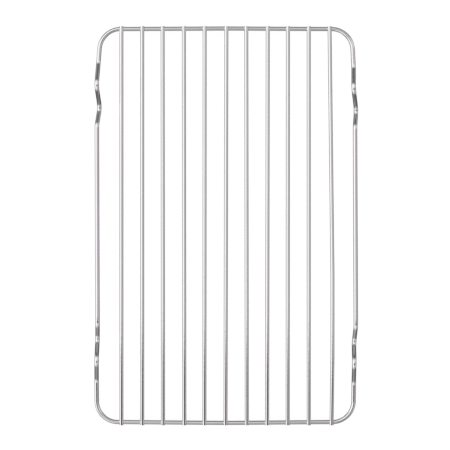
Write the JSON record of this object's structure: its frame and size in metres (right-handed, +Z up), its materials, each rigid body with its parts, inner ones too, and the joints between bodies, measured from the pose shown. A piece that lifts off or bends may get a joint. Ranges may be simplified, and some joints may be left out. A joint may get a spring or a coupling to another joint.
{
  "type": "wire broil rack",
  "caption": "Flat rectangular broil rack: straight round bars welded along a bent border wire with rounded corners and four joggled legs.",
  "frame": {"origin": "middle of the rack, on the surface that its four feet stand on", "axes": "+Y along the bars towards the rack's far end, +Z up with the bars uppermost, +X to the right seen from above"},
  "size_m": [0.2018, 0.305, 0.0158],
  "materials": {
    "border_chrome": "bright plated wire",
    "bar_chrome": "bright plated wire"
  },
  "bodies": {
    "root": {"border_wire": "border_chrome", "bar_1": "bar_chrome", "bar_2": "bar_chrome", "bar_3": "bar_chrome", "bar_4": "bar_chrome", "bar_5": "bar_chrome", "bar_6": "bar_chrome", "bar_7": "bar_chrome", "bar_8": "bar_chrome", "bar_9": "bar_chrome", "bar_10": "bar_chrome", "bar_11": "bar_chrome"}
  },
  "joints": []
}
